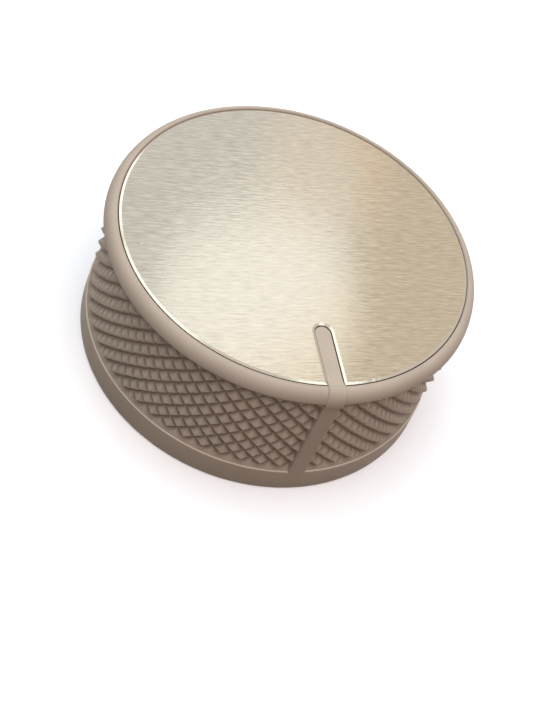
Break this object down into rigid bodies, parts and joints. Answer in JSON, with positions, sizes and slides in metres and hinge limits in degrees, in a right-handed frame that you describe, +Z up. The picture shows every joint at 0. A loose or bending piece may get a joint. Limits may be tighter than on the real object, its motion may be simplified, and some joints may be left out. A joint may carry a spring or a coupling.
{
  "type": "selector knob",
  "caption": "Round appliance selector knob with a diamond-knurled plastic body, moulded pointer, brushed metal face disc and a sprung D-shaft socket underneath.",
  "frame": {"origin": "centre of the foot ring, on the surface that the knob stands on", "axes": "+Z up along the shaft axis, towards the face disc; the pointer faces -Y"},
  "size_m": [0.044, 0.044, 0.0189],
  "materials": {
    "body_plastic": "satin moulded, taupe",
    "face_aluminium": "straight brushed, bright cut bevels",
    "adhesive_film": "thin double-sided film",
    "spring_steel": "blank spring strip"
  },
  "bodies": {
    "root": {"knob_body": "body_plastic", "face_disc": "face_aluminium", "disc_adhesive": "adhesive_film", "hub_spring_clip": "spring_steel"}
  },
  "joints": []
}
